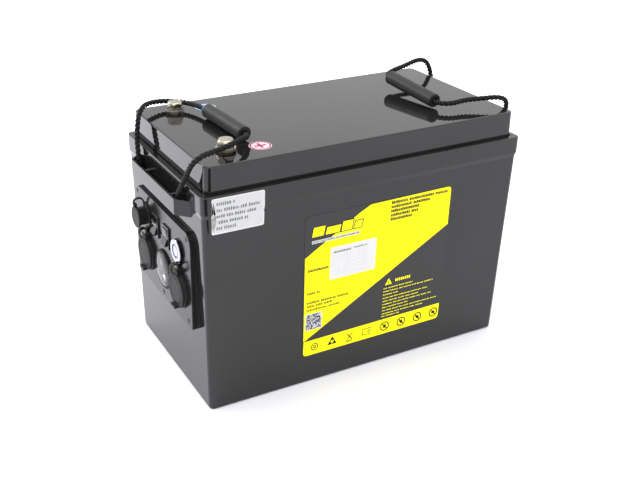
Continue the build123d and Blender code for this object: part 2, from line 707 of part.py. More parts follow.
def rocker_housing(y):
    """The frame and body of a rocker switch, with two blade terminals behind."""
    width, height = ROCKER_BEZEL
    frame = panel_box(width, height, y, UPPER_ROW_Z, 0, ROCKER_FRAME)
    frame = fillet(frame.edges().filter_by(Axis.X), 1.0)
    frame = fillet(frame.edges().group_by(Axis.X)[0], 0.5)
    frame += panel_box(ROCKER_BODY[0], ROCKER_BODY[1], y, UPPER_ROW_Z, -14, 0)
    frame -= panel_box(ROCKER_WELL[0], ROCKER_WELL[1], y, UPPER_ROW_Z, -8, ROCKER_FRAME + 1)
    for z in (-4, 4):
        frame += panel_box(4.8, 0.8, y, UPPER_ROW_Z + z, -21, -13)
    return frame


def rocker_paddle(y):
    """A rocker, drawn with its lower half pressed in and its upper half standing out."""
    half = ROCKER_WELL[1] / 2 - 0.7
    rise = half * sin(radians(ROCKER_ANGLE))
    outline = [
        (ROCKER_PIVOT_OUT - 3.5, -half * 0.35),
        (ROCKER_FRAME - 0.3, -half),
        (ROCKER_FRAME + 0.6, -half),
        (ROCKER_FRAME + 0.2, 0),
        (ROCKER_FRAME + 0.4 + 2 * rise, half * 0.93),
        (ROCKER_FRAME + 2 * rise - 0.8, half),
        (ROCKER_PIVOT_OUT - 3.5, half * 0.35),
    ]
    side = Plane(origin=(PANEL_FACE_X, y + ROCKER_PADDLE_WIDTH / 2, UPPER_ROW_Z),
                 x_dir=(-1, 0, 0), z_dir=(0, -1, 0))
    return extrude(side * make_face(Polyline(*outline, close=True)), ROCKER_PADDLE_WIDTH)


def make_port_body():
    """The charging port: flange, barrel and contact well."""
    body = drum(PORT_FLANGE_R, PORT_Y, UPPER_ROW_Z, 0, PORT_FLANGE)
    body = fillet(body.edges().group_by(Axis.X)[0], 0.5)
    body += drum(PORT_NOSE_R, PORT_Y, UPPER_ROW_Z, PORT_FLANGE, PORT_NOSE)
    body += drum(PORT_BARREL_R, PORT_Y, UPPER_ROW_Z, -PORT_DEPTH, 0)
    body -= drum(PORT_WELL_R, PORT_Y, UPPER_ROW_Z, -PORT_WELL_FLOOR, PORT_NOSE + 1)
    for offset in (-PORT_PIN_OFFSET, PORT_PIN_OFFSET):
        body -= drum(PORT_PIN_R, PORT_Y + offset, UPPER_ROW_Z, -PORT_DEPTH - 1, 0)
    return body


def make_port_pins():
    """The two contact pins of the charging port."""
    places = (-PORT_PIN_OFFSET, PORT_PIN_OFFSET)
    return [drum(PORT_PIN_R, PORT_Y + offset, UPPER_ROW_Z, -PORT_DEPTH - 3, 3.5) for offset in places]


def make_port_cap():
    """The rubber cap on the charging port: a disc with a short plug and a hinge tab."""
    cap = drum(PORT_CAP_R, PORT_Y, UPPER_ROW_Z, PORT_CAP_BACK, PORT_CAP_FRONT)
    cap = fillet(cap.edges(), 0.6)
    cap += drum(PORT_PLUG_R, PORT_Y, UPPER_ROW_Z, PORT_PLUG_TIP, PORT_CAP_BACK)
    return cap + panel_box(5, 5, PORT_Y, UPPER_ROW_Z + PORT_CAP_R + 1, PORT_CAP_FRONT - 1.7, PORT_CAP_FRONT - 0.3)


# ---- inside the case ----
def cell_x(index):
    """Middle of a cell along the case."""
    return CELL_START_X + CELL_SIZE[0] / 2 + index * CELL_PITCH


def make_cell(index):
    """A prismatic cell with its two studs."""
    length, width, height = CELL_SIZE
    body = Pos(cell_x(index), 0, CELL_BOTTOM_Z + height / 2) * Box(length, width, height)
    body = fillet(body.edges().filter_by(Axis.Z), 2.0)
    for y in (-STUD_Y, STUD_Y):
        body += Pos(cell_x(index), y, CELL_TOP_Z + 2) * Cylinder(8, 4)
    return body


def make_cell_pad():
    """The foam pad that the cells stand on."""
    end_x = cell_x(CELL_COUNT - 1) + CELL_SIZE[0] / 2
    return slab(CELL_START_X, end_x, -CELL_SIZE[1] / 2, CELL_SIZE[1] / 2, FLOOR_Z, CELL_BOTTOM_Z)


def make_end_pads():
    """Foam blocks that hold the row of cells away from the ends of the case."""
    end_x = cell_x(CELL_COUNT - 1) + CELL_SIZE[0] / 2
    high = CELL_BOTTOM_Z + 120
    return [
        slab(CELL_START_X - 8, CELL_START_X, -60, 60, FLOOR_Z, high),
        slab(end_x, 150.0, -60, 60, FLOOR_Z, high),
    ]


def make_busbars():
    """Copper bars that join the cells in series."""
    bars = []
    for index in range(CELL_COUNT - 1):
        y = STUD_Y if index % 2 == 0 else -STUD_Y
        x0 = cell_x(index) - 8
        x1 = cell_x(index + 1) + 8
        bars.append(slab(x0, x1, y - 8, y + 8, CELL_TOP_Z + 4, CELL_TOP_Z + 6))
    return bars


def make_management_board():
    """The protection circuit in its heat-sink case, above the cells."""
    board = slab(BOARD_X0, BOARD_X0 + 130, -28, 28, BOARD_Z, BOARD_Z + 12)
    for rib in range(6):
        board += slab(BOARD_X0 + 2, BOARD_X0 + 128, -24 + rib * 9, -21 + rib * 9, BOARD_Z + 12, BOARD_Z + 15)
    return board


def cable_routes():
    """The routes of the two power cables, positive from the first cell and negative from the board."""
    positive = [
        (cell_x(0), -STUD_Y, CELL_TOP_Z + 4),
        (cell_x(0), -STUD_Y, CABLE_Z),
        (TERMINAL_X, -TERMINAL_Y, CABLE_Z),
        (TERMINAL_X, -TERMINAL_Y, INSERT_BOTTOM_Z),
    ]
    cable_z = BOARD_Z + 6
    elbow_x = BOARD_X0 - 30
    negative = [
        (BOARD_X0, 0.0, cable_z),
        (elbow_x, 0.0, cable_z),
        (elbow_x, TERMINAL_Y, cable_z),
        (TERMINAL_X, TERMINAL_Y, cable_z),
        (TERMINAL_X, TERMINAL_Y, INSERT_BOTTOM_Z),
    ]
    return positive, negative


def power_cable(points):
    """A battery cable from the cells or the board up to a terminal bush."""
    path = FilletPolyline(*points, radius=CABLE_BEND)
    start = Plane(origin=path @ 0, z_dir=path % 0)
    return sweep(start * Circle(CABLE_R), path=path)


def name_all():
    """Every node of the battery, by name."""
    parts["container"] = make_container()
    parts["lid"] = make_lid()
    parts["lid_seal"] = make_lid_seal()
    parts["rope_retaining_pins"] = pin_shapes()
    parts["front_label"] = make_front_label()
    parts["data_sticker"] = make_spec_sticker()
    parts["seal_sticker"] = make_seal_sticker()
    parts["positive_mark"] = polarity_mark(-MARK_Y)
    parts["negative_mark"] = polarity_mark(MARK_Y)
    for name, y in (("positive", -TERMINAL_Y), ("negative", TERMINAL_Y)):
        parts[name + "_terminal"] = terminal_insert(y)
        parts[name + "_washers"] = terminal_washers(y)
        parts[name + "_bolt"] = terminal_bolt(y)
    for name, side, route, grip in (("left", -1, LEFT_ROUTE, LEFT_GRIP), ("right", 1, RIGHT_ROUTE, RIGHT_GRIP)):
        parts[name + "_handle_rope"] = swinging_rope(route)
        parts[name + "_anchored_rope"] = anchored_rope(side)
        parts[name + "_grip"] = make_grip(*grip)
    parts["panel_plate"] = make_panel_plate()
    parts["panel_gasket"] = make_panel_gasket()
    parts["panel_screws"] = [panel_screw(y, z) for y, z in screw_places()]
    for name, place in SOCKET_AT.items():
        parts[name + "_socket_body"] = socket_body(*place)
        parts[name + "_socket_strap"] = socket_strap(*place)
        parts[name + "_socket_sleeve"] = socket_sleeve(*place)
        parts[name + "_socket_contact"] = socket_contact(*place)
        parts[name + "_socket_cap"] = socket_cap(*place)
    parts["fitting_nuts"] = [fitting_nut(*place) for place in round_fittings()]
    parts["meter_body"] = make_meter_body()
    parts["meter_lens"] = make_meter_lens()
    parts["meter_display"] = make_meter_display()
    parts["button_body"] = make_button_body()
    parts["button_light_ring"] = make_button_ring()
    parts["button_cap"] = make_button_cap()
    parts["button_spring"] = make_button_spring()
    parts["button_nut"] = make_button_nut()
    for name, y in ROCKER_Y.items():
        parts[name + "_rocker_housing"] = rocker_housing(y)
        parts[name + "_rocker"] = rocker_paddle(y)
    parts["charge_port_body"] = make_port_body()
    parts["charge_port_pins"] = make_port_pins()
    parts["charge_port_cap"] = make_port_cap()
    for index in range(CELL_COUNT):
        parts["cell_" + str(index + 1)] = make_cell(index)
    parts["cell_base_pad"] = make_cell_pad()
    parts["cell_end_pads"] = make_end_pads()
    parts["busbars"] = make_busbars()
    parts["management_board"] = make_management_board()
    positive, negative = cable_routes()
    parts["positive_cable"] = power_cable(positive)
    parts["negative_cable"] = power_cable(negative)


def write_all():
    """One STEP file per node."""
    os.makedirs("parts", exist_ok=True)
    for name, shape in parts.items():
        if isinstance(shape, list):
            shape = Compound(children=shape)
        shape.label = name
        export_step(shape, "parts/" + name + ".step")


name_all()
write_all()
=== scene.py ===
import bpy
import bmesh
import random
from math import cos, pi, radians, sin
from mathutils import Matrix, Vector


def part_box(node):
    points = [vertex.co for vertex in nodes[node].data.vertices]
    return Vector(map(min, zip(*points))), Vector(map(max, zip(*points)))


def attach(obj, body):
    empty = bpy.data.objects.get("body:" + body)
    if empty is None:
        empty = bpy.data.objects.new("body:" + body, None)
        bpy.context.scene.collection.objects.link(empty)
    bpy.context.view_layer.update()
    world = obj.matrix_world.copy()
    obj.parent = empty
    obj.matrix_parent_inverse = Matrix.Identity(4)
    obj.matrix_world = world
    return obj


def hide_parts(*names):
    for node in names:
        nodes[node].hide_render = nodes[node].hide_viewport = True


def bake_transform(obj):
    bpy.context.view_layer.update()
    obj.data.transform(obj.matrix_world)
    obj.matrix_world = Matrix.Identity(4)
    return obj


# Deep cycle battery: looks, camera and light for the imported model. Metres, in the model's own frame.

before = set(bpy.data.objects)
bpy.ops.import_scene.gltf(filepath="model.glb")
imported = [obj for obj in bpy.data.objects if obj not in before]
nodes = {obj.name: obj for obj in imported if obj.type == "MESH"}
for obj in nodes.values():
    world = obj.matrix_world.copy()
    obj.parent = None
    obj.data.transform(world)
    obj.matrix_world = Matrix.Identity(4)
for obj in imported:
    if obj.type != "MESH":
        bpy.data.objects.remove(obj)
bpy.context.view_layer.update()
scene = bpy.context.scene
random.seed(7)


# ---- camera ----
CAMERA_PLACE = (-0.4252, -0.70808, 0.50632)
CAMERA_AZIMUTH = -27.09
CAMERA_ELEVATION = 25.43
CAMERA_ROLL = 0.17
SENSOR_WIDTH_MM = 36.0
LENS_MM = 52.40
LENS_SHIFT = (0.0895, -0.0255)


def make_camera():
    """A 52 mm lens from the front left, a little above."""
    azimuth, elevation, roll = radians(CAMERA_AZIMUTH), radians(CAMERA_ELEVATION), radians(CAMERA_ROLL)
    back = Vector((sin(azimuth) * cos(elevation), -cos(azimuth) * cos(elevation), sin(elevation)))
    right = (-back).cross(Vector((0, 0, 1))).normalized()
    up = right.cross(-back)
    x_axis = cos(roll) * right + sin(roll) * up
    y_axis = -sin(roll) * right + cos(roll) * up
    data = bpy.data.cameras.new("camera")
    data.sensor_width = SENSOR_WIDTH_MM
    data.lens = LENS_MM
    data.shift_x, data.shift_y = LENS_SHIFT
    data.clip_start = 0.01
    camera = bpy.data.objects.new("camera", data)
    scene.collection.objects.link(camera)
    turn = Matrix((x_axis, y_axis, back)).transposed().to_4x4()
    camera.matrix_world = Matrix.Translation(CAMERA_PLACE) @ turn
    scene.camera = camera


make_camera()

# ---- rope handles: from the near trough mouth, through the grip, to the far trough mouth ----
ROPE_R = 0.0025
ROPE_STEP = 0.0008
ROPE_LAY = 0.0125
STRAND_SHARE = 0.52
STRAND_SIDES = 10
LEFT_ROUTE = [
    (-0.1658, -0.0470, 0.1980),
    (-0.1657, -0.0540, 0.2066),
    (-0.1649, -0.0592, 0.2146),
    (-0.1640, -0.0652, 0.2230),
    (-0.1633, -0.0721, 0.2323),
    (-0.1555, -0.0752, 0.2390),
    (-0.1452, -0.0713, 0.2386),
    (-0.1350, -0.0672, 0.2388),
    (-0.1240, -0.0679, 0.2416),
    (-0.1132, -0.0589, 0.2409),
    (-0.1015, -0.0490, 0.2379),
    (-0.1021, -0.0334, 0.2379),
    (-0.1043, 0.0215, 0.2379),
    (-0.1050, 0.0380, 0.2379),
    (-0.1090, 0.0540, 0.2374),
    (-0.1175, 0.0685, 0.2369),
    (-0.1310, 0.0742, 0.2374),
    (-0.1450, 0.0690, 0.2390),
    (-0.1552, 0.0596, 0.2397),
    (-0.1616, 0.0542, 0.2328),
    (-0.1638, 0.0518, 0.2235),
    (-0.1648, 0.0519, 0.2146),
    (-0.1656, 0.0490, 0.2062),
    (-0.1658, 0.0470, 0.1980),
]
RIGHT_ROUTE = [
    (0.1658, -0.0470, 0.1980),
    (0.1657, -0.0526, 0.2062),
    (0.1648, -0.0574, 0.2154),
    (0.1638, -0.0612, 0.2258),
    (0.1604, -0.0646, 0.2362),
    (0.1505, -0.0654, 0.2410),
    (0.1365, -0.0598, 0.2402),
    (0.1200, -0.0536, 0.2390),
    (0.1050, -0.0552, 0.2382),
    (0.0944, -0.0486, 0.2379),
    (0.0940, -0.0361, 0.2388),
    (0.0921, 0.0215, 0.2426),
    (0.0917, 0.0340, 0.2434),
    (0.1020, 0.0410, 0.2446),
    (0.1220, 0.0465, 0.2460),
    (0.1410, 0.0520, 0.2486),
    (0.1535, 0.0550, 0.2456),
    (0.1609, 0.0570, 0.2366),
    (0.1634, 0.0562, 0.2260),
    (0.1646, 0.0542, 0.2162),
    (0.1657, 0.0504, 0.2064),
    (0.1658, 0.0470, 0.1980),
]


def spline_points(route, spacing):
    """Evenly spaced points on the smooth line that has the route as its control points."""
    data = bpy.data.curves.new("route", "CURVE")
    data.dimensions = "3D"
    data.resolution_u = 24
    spline = data.splines.new("NURBS")
    spline.points.add(len(route) - 1)
    for point, place in zip(spline.points, route):
        point.co = (*place, 1.0)
    spline.order_u = 3
    spline.use_endpoint_u = True
    holder = bpy.data.objects.new("route", data)
    scene.collection.objects.link(holder)
    bpy.context.view_layer.update()
    mesh = bpy.data.meshes.new_from_object(holder.evaluated_get(bpy.context.evaluated_depsgraph_get()))
    line = [v.co.copy() for v in mesh.vertices]
    bpy.data.objects.remove(holder)
    bpy.data.meshes.remove(mesh)
    return resample(line, spacing)


def resample(line, spacing):
    """Points along a polyline at an even spacing, with both ends kept."""
    lengths = [0.0]
    for a, b in zip(line, line[1:]):
        lengths.append(lengths[-1] + (b - a).length)
    count = max(2, round(lengths[-1] / spacing))
    points = []
    index = 0
    for step in range(count + 1):
        target = lengths[-1] * step / count
        while index < len(line) - 2 and lengths[index + 1] < target:
            index += 1
        span = lengths[index + 1] - lengths[index]
        share = 0.0 if span < 1e-12 else (target - lengths[index]) / span
        points.append(line[index].lerp(line[index + 1], min(max(share, 0.0), 1.0)))
    return points


def frames_along(points):
    """Two side directions at each point that turn as little as they can along the line."""
    tangents = []
    for i in range(len(points)):
        before = points[max(i - 1, 0)]
        after = points[min(i + 1, len(points) - 1)]
        tangents.append((after - before).normalized())
    side = tangents[0].orthogonal().normalized()
    sides = []
    for i, tangent in enumerate(tangents):
        side = (side - tangent * side.dot(tangent)).normalized()
        sides.append((side, tangent.cross(side)))
    return sides


def link_mesh(name, bm, smooth=True):
    """An object in the scene made from a bmesh."""
    mesh = bpy.data.meshes.new(name)
    bmesh.ops.recalc_face_normals(bm, faces=bm.faces)
    bm.to_mesh(mesh)
    bm.free()
    if smooth:
        mesh.shade_smooth()
    obj = bpy.data.objects.new(name, mesh)
    scene.collection.objects.link(obj)
    return obj


def sweep(bm, centres, sides, wide, tall, around):
    """Adds a closed tube with an oval section along the centres, with UVs in turns and metres."""
    uv = bm.loops.layers.uv.verify()
    rings = []
    travelled = [0.0]
    for a, b in zip(centres, centres[1:]):
        travelled.append(travelled[-1] + (b - a).length)
    for centre, (u, v) in zip(centres, sides):
        ring = []
        for k in range(around):
            angle = 2 * pi * k / around
            ring.append(bm.verts.new(centre + u * (cos(angle) * wide) + v * (sin(angle) * tall)))
        rings.append(ring)
    for i in range(len(rings) - 1):
        for k in range(around):
            after = (k + 1) % around
            face = bm.faces.new((rings[i][k], rings[i][after], rings[i + 1][after], rings[i + 1][k]))
            corners = ((k, i), (k + 1, i), (k + 1, i + 1), (k, i + 1))
            for loop, (turns, along) in zip(face.loops, corners):
                loop[uv].uv = (turns / around, travelled[along] * 100)
    bm.faces.new(list(reversed(rings[0])))
    bm.faces.new(rings[-1])


def laid_rope(name, points, radius=ROPE_R, pitch=ROPE_LAY, strands=3):
    """Twisted cord: round strands that wind about the line."""
    bm = bmesh.new()
    sides = frames_along(points)
    strand_r = radius * STRAND_SHARE
    offset = radius - strand_r
    travelled = 0.0
    winding = []
    for i in range(len(points)):
        if i:
            travelled += (points[i] - points[i - 1]).length
        winding.append(2 * pi * travelled / pitch)
    for strand in range(strands):
        centres = []
        for point, (u, v), turn in zip(points, sides, winding):
            angle = turn + 2 * pi * strand / strands
            centres.append(point + u * (cos(angle) * offset) + v * (sin(angle) * offset))
        sweep(bm, centres, sides, strand_r, strand_r, STRAND_SIDES)
    return link_mesh(name, bm)


ropes = {}
for side, route in (("left", LEFT_ROUTE), ("right", RIGHT_ROUTE)):
    line = spline_points(route, ROPE_STEP)
    rope = laid_rope(side + "_rope", line)
    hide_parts(side + "_handle_rope")
    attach(rope, side + "_handle")
    ropes[side] = rope

# The held part of each rope, down one end of its trough, along the bottom and up the other end.
for side in ("left", "right"):
    low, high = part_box(side + "_anchored_rope")
    x = (low[0] + high[0]) / 2
    mouth = high[1] - ROPE_R
    bottom = low[2] + ROPE_R
    top = high[2] + 0.0015
    held = [(x, -mouth, top), (x, -mouth, bottom + 0.004), (x, -mouth + 0.001, bottom + 0.0005),
            (x, -mouth + 0.006, bottom), (x, -mouth + 0.020, bottom), (x, mouth - 0.020, bottom),
            (x, mouth - 0.006, bottom), (x, mouth - 0.001, bottom + 0.0005),
            (x, mouth, bottom + 0.004), (x, mouth, top)]
    rope = laid_rope(side + "_held_rope", spline_points(held, ROPE_STEP))
    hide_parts(side + "_anchored_rope")
    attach(rope, "battery")
    ropes[side + "_held"] = rope


# ---- materials ----
class Nodes:
    """A small helper that builds a node material step by step."""

    def __init__(self, name):
        self.material = bpy.data.materials.new(name)
        self.material.use_nodes = True
        self.tree = self.material.node_tree
        self.shader = self.tree.nodes["Principled BSDF"]
        self.place = self.add("ShaderNodeTexCoord").outputs["Object"]

    def add(self, kind, **settings):
        node = self.tree.nodes.new(kind)
        for key, value in settings.items():
            setattr(node, key, value)
        return node

    def wire(self, source, target):
        self.tree.links.new(source, target)

    def noise(self, scale, detail=3.0, rough=0.5, where=None, stretch=None):
        """A noise field, in features per metre, with an optional stretch along the axes."""
        node = self.add("ShaderNodeTexNoise")
        node.inputs["Scale"].default_value = scale
        node.inputs["Detail"].default_value = detail
        node.inputs["Roughness"].default_value = rough
        source = where or self.place
        if stretch:
            mapping = self.add("ShaderNodeMapping")
            mapping.inputs["Scale"].default_value = stretch
            self.wire(source, mapping.inputs["Vector"])
            source = mapping.outputs["Vector"]
        self.wire(source, node.inputs["Vector"])
        return node.outputs["Fac"]

    def spread(self, field, low, high, start=0.3, stop=0.7):
        """The field mapped to a range of numbers."""
        node = self.add("ShaderNodeMapRange")
        node.inputs["From Min"].default_value = start
        node.inputs["From Max"].default_value = stop
        node.inputs["To Min"].default_value = low
        node.inputs["To Max"].default_value = high
        self.wire(field, node.inputs["Value"])
        return node.outputs["Result"]

    def blend(self, field, low, high, start=0.35, stop=0.65):
        """The field mapped to a range of colours."""
        node = self.add("ShaderNodeValToRGB")
        node.color_ramp.elements[0].position = start
        node.color_ramp.elements[1].position = stop
        node.color_ramp.elements[0].color = (*low, 1)
        node.color_ramp.elements[1].color = (*high, 1)
        self.wire(field, node.inputs["Fac"])
        return node.outputs["Color"]

    def math(self, kind, a, b):
        node = self.add("ShaderNodeMath", operation=kind)
        for socket, value in zip(node.inputs, (a, b)):
            if isinstance(value, (int, float)):
                socket.default_value = value
            else:
                self.wire(value, socket)
        return node.outputs["Value"]

    def bump(self, field, depth, strength=1.0):
        """Relief of a depth in metres, added to any relief already there."""
        node = self.add("ShaderNodeBump")
        node.inputs["Strength"].default_value = strength
        node.inputs["Distance"].default_value = depth
        self.wire(field, node.inputs["Height"])
        target = self.shader.inputs["Normal"]
        if target.is_linked:
            self.wire(target.links[0].from_socket, node.inputs["Normal"])
        self.wire(node.outputs["Normal"], target)

    def put(self, **values):
        for key, value in values.items():
            socket = self.shader.inputs[key.replace("_", " ")]
            if isinstance(value, (int, float, tuple)):
                socket.default_value = value
            else:
                self.wire(value, socket)


SCUFFS = 0.04


def shade(colour, factor):
    """The colour made lighter or darker."""
    return tuple(min(1.0, c * factor) for c in colour)


def plastic(name, colour, rough, grain=900.0, grain_depth=0.0, wave_depth=0.0, spread=0.15, gloss=0.5):
    """Moulded plastic with slow colour drift, fine grain, a faint wave and handling scuffs."""
    n = Nodes(name)
    drift = n.noise(14.0, 4.0)
    n.put(Base_Color=n.blend(drift, shade(colour, 1 - spread), shade(colour, 1 + spread)))
    scratch = n.noise(60.0, 6.0, 0.65, stretch=(1.0, 6.0, 1.0))
    n.put(Roughness=n.spread(scratch, rough, rough + SCUFFS, 0.45, 0.75), IOR=1.5, Specular_IOR_Level=gloss)
    if wave_depth:
        n.bump(n.noise(22.0, 2.0, 0.4), wave_depth)
    if grain_depth:
        n.bump(n.noise(grain, 3.0, 0.6), grain_depth)
    return n.material


def metal(name, colour, rough, spread=0.12, brush=None, grain_depth=0.00001):
    """Plated or bare metal with tarnish drift and fine tool marks."""
    n = Nodes(name)
    stain = n.noise(160.0, 5.0, 0.6)
    n.put(Base_Color=n.blend(stain, shade(colour, 1 - spread), shade(colour, 1 + spread / 2)), Metallic=1.0)
    marks = n.noise(700.0, 4.0, 0.6, stretch=brush or (1.0, 1.0, 1.0))
    n.put(Roughness=n.spread(marks, rough, rough + 0.14))
    n.bump(marks, grain_depth)
    return n.material


def soft(name, colour, rough, grain=1500.0, depth=0.00006, spread=0.25, gloss=0.25):
    """Rubber or foam: matt, finely pitted, dusty in places."""
    n = Nodes(name)
    dust = n.noise(45.0, 5.0, 0.7)
    n.put(Base_Color=n.blend(dust, shade(colour, 1 - spread), shade(colour, 1 + spread)))
    n.put(Roughness=n.spread(dust, rough - 0.06, rough + 0.08), Specular_IOR_Level=gloss)
    n.bump(n.noise(grain, 4.0, 0.65), depth)
    return n.material


def ink(name, colour, rough=0.22, specular=0.35):
    """Printed film: even ink with a faint dot grain under a gloss coat."""
    n = Nodes(name)
    dots = n.noise(2600.0, 2.0, 0.5)
    wash = n.noise(30.0, 3.0, 0.5)
    tone = n.math("ADD", n.math("MULTIPLY", dots, 0.35), n.math("MULTIPLY", wash, 0.65))
    n.put(Base_Color=n.blend(tone, shade(colour, 0.95), shade(colour, 1.03)))
    n.put(Roughness=n.spread(wash, rough, rough + 0.06), Specular_IOR_Level=specular)
    n.bump(n.noise(300.0, 3.0, 0.5), 0.000012)
    return n.material


def paper(name, colour, rough=0.45):
    """Coated paper with a faint fibre mottle."""
    n = Nodes(name)
    fibre = n.noise(1200.0, 5.0, 0.7)
    cloud = n.noise(90.0, 4.0, 0.6)
    tone = n.math("ADD", n.math("MULTIPLY", fibre, 0.4), n.math("MULTIPLY", cloud, 0.6))
    n.put(Base_Color=n.blend(tone, shade(colour, 0.94), shade(colour, 1.03)))
    n.put(Roughness=n.spread(cloud, rough - 0.05, rough + 0.1))
    n.bump(fibre, 0.00001)
    return n.material


def cord_fibre(name, colour):
    """Twisted yarn: fine filaments that run slantwise round each strand."""
    n = Nodes(name)
    uv = n.add("ShaderNodeTexCoord").outputs["UV"]
    slant = n.add("ShaderNodeMapping")
    slant.inputs["Rotation"].default_value = (0, 0, radians(24))
    slant.inputs["Scale"].default_value = (5.0, 5.0, 1.0)
    n.wire(uv, slant.inputs["Vector"])
    wave = n.add("ShaderNodeTexWave", wave_type="BANDS", bands_direction="X")
    wave.inputs["Scale"].default_value = 1.6
    wave.inputs["Distortion"].default_value = 2.2
    wave.inputs["Detail"].default_value = 3.0
    wave.inputs["Detail Scale"].default_value = 2.0
    n.wire(slant.outputs["Vector"], wave.inputs["Vector"])
    fuzz = n.noise(1800.0, 5.0, 0.7)
    tone = n.math("ADD", n.math("MULTIPLY", wave.outputs["Fac"], 0.6), n.math("MULTIPLY", fuzz, 0.4))
    n.put(Base_Color=n.blend(tone, shade(colour, 0.5), shade(colour, 1.7), 0.25, 0.8))
    n.put(Roughness=n.spread(fuzz, 0.5, 0.75), Specular_IOR_Level=0.25)
    n.bump(tone, 0.00025, 0.8)
    return n.material


def button_plate_painted_side_shade(name):
    """Bright plate on the button's face; the flange's side is painted near black as painted shade."""
    n = Nodes(name)
    split = n.add("ShaderNodeSeparateXYZ")
    n.wire(n.place, split.inputs["Vector"])
    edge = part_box("button_body")[0][0] + 0.0006
    face = n.spread(split.outputs["X"], 1.0, 0.0, edge, edge + 0.0002)
    stain = n.noise(200.0, 5.0, 0.6)
    tone = n.math("MULTIPLY", face, n.spread(stain, 0.92, 1.0))
    # Painted shade: the flange's side behind the front rim gets the near-black colour, and the face gets the
    # bright plate.
    n.put(Base_Color=n.blend(tone, (0.02, 0.02, 0.022), (0.46, 0.46, 0.475), 0.0, 1.0), Metallic=1.0)
    n.put(Roughness=n.spread(stain, 0.06, 0.12))
    return n.material


def clear_lens(name):
    """Smoked glass with the faintest haze."""
    n = Nodes(name)
    haze = n.noise(200.0, 4.0, 0.6)
    n.put(Base_Color=n.blend(haze, (0.30, 0.31, 0.32), (0.36, 0.37, 0.38)))
    n.put(Roughness=n.spread(haze, 0.0, 0.03), Transmission_Weight=1.0, IOR=1.45)
    return n.material


CASE_BLACK = (0.010, 0.010, 0.0105)
MOULDED = {"grain": 1400.0, "grain_depth": 0.000004, "wave_depth": 0.000008}
mats = {
    "case": plastic("case_plastic", CASE_BLACK, 0.05, gloss=0.47, **MOULDED),
    "lid": plastic("lid_plastic", CASE_BLACK, 0.045, **MOULDED),
    "panel": plastic("panel_plastic", (0.009, 0.009, 0.0095), 0.16, grain=2200.0, grain_depth=0.00003,
                     gloss=0.27),
    "fitting": plastic("fitting_plastic", (0.010, 0.010, 0.011), 0.3, grain=2600.0, grain_depth=0.00003,
                       gloss=0.3),
    "switch": plastic("switch_plastic", (0.006, 0.006, 0.006), 0.10, grain=2600.0, grain_depth=0.00001,
                      gloss=0.35),
    "bezel": plastic("bezel_plastic", (0.006, 0.006, 0.006), 0.45, grain=2600.0, grain_depth=0.00001,
                     gloss=0.08),
    "seal": soft("sealant", (0.012, 0.012, 0.012), 0.5),
    "cap_rubber": soft("cap_rubber", (0.014, 0.014, 0.0145), 0.5, grain=1800.0, depth=0.00004, gloss=0.16),
    "grip_rubber": soft("grip_rubber", (0.013, 0.013, 0.0135), 0.5, grain=1300.0, depth=0.00007, gloss=0.22),
    "rope": cord_fibre("rope_fibre", (0.0065, 0.0065, 0.007)),
    "label_black": ink("label_black_ink", (0.010, 0.010, 0.0105), 0.06, 0.5),
    "yellow": ink("yellow_ink", (1.0, 0.93, 0.008), 0.3, 0.08),
    "white_ink": ink("white_ink", (0.55, 0.55, 0.55)),
    "brown_ink": ink("brown_ink", (0.045, 0.03, 0.006), 0.3),
    "black_ink": ink("black_ink", (0.012, 0.011, 0.008), 0.3, 0.2),
    "grey_ink": ink("grey_ink", (0.16, 0.165, 0.17), 0.4, 0.2),
    "pale_ink": ink("pale_ink", (0.56, 0.565, 0.57), 0.4, 0.2),
    "code_ink": ink("code_ink", (0.045, 0.045, 0.09), 0.35, 0.2),
    "red_ink": ink("red_ink", (0.20, 0.02, 0.05), 0.4, 0.15),
    "pink": paper("pink_disc", (0.68, 0.44, 0.52), 0.5),
    "blue_ink": ink("blue_ink", (0.06, 0.16, 0.5), 0.3),
    "blue_disc": paper("blue_disc", (0.42, 0.52, 0.64), 0.5),
    "sticker": paper("sticker_paper", (0.62, 0.62, 0.62)),
    "sticker_field": paper("sticker_field", (0.53, 0.535, 0.53)),
    "spec_paper": paper("spec_paper", (0.64, 0.64, 0.645)),
    "nickel": metal("nickel_plate", (0.44, 0.41, 0.35), 0.12),
    "bolt": metal("bolt_nickel", (0.44, 0.405, 0.325), 0.12, spread=0.3, grain_depth=0.00003),
    "chrome": button_plate_painted_side_shade("button_chrome_painted_side_shade"),
    "steel": metal("plain_steel", (0.42, 0.42, 0.43), 0.3),
    "dark_steel": metal("blacked_steel", (0.08, 0.08, 0.085), 0.35),
    "brass": metal("tinned_brass", (0.22, 0.18, 0.12), 0.25),
    "copper": metal("copper_bar", (0.78, 0.42, 0.26), 0.25),
    "blue_ring": plastic("blue_ring_plastic", (0.012, 0.045, 0.22), 0.3, spread=0.1, gloss=0.2),
    "blue_liner": plastic("blue_liner_plastic", (0.09, 0.30, 0.46), 0.3, spread=0.1, gloss=0.2),
    "display": plastic("display_window", (0.006, 0.007, 0.007), 0.2, gloss=0.15),
    "segment": plastic("display_segment", (0.12, 0.13, 0.125), 0.4, gloss=0.1),
    "lens": clear_lens("meter_glass"),
    "cell": plastic("cell_film", (0.02, 0.08, 0.28), 0.25),
    "foam": soft("packing_foam", (0.05, 0.05, 0.05), 0.8, grain=900.0, depth=0.0003),
    "alloy": metal("heat_sink_alloy", (0.5, 0.5, 0.52), 0.35),
    "red_cable": soft("red_insulation", (0.45, 0.02, 0.02), 0.4),
    "black_cable": soft("black_insulation", (0.02, 0.02, 0.02), 0.4),
}


def finish_node(name, material):
    """Gives a CAD node its material."""
    obj = nodes[name]
    if not obj.material_slots:
        obj.data.materials.append(None)
    for entry in obj.material_slots:
        entry.link = "OBJECT"
        entry.material = mats[material]


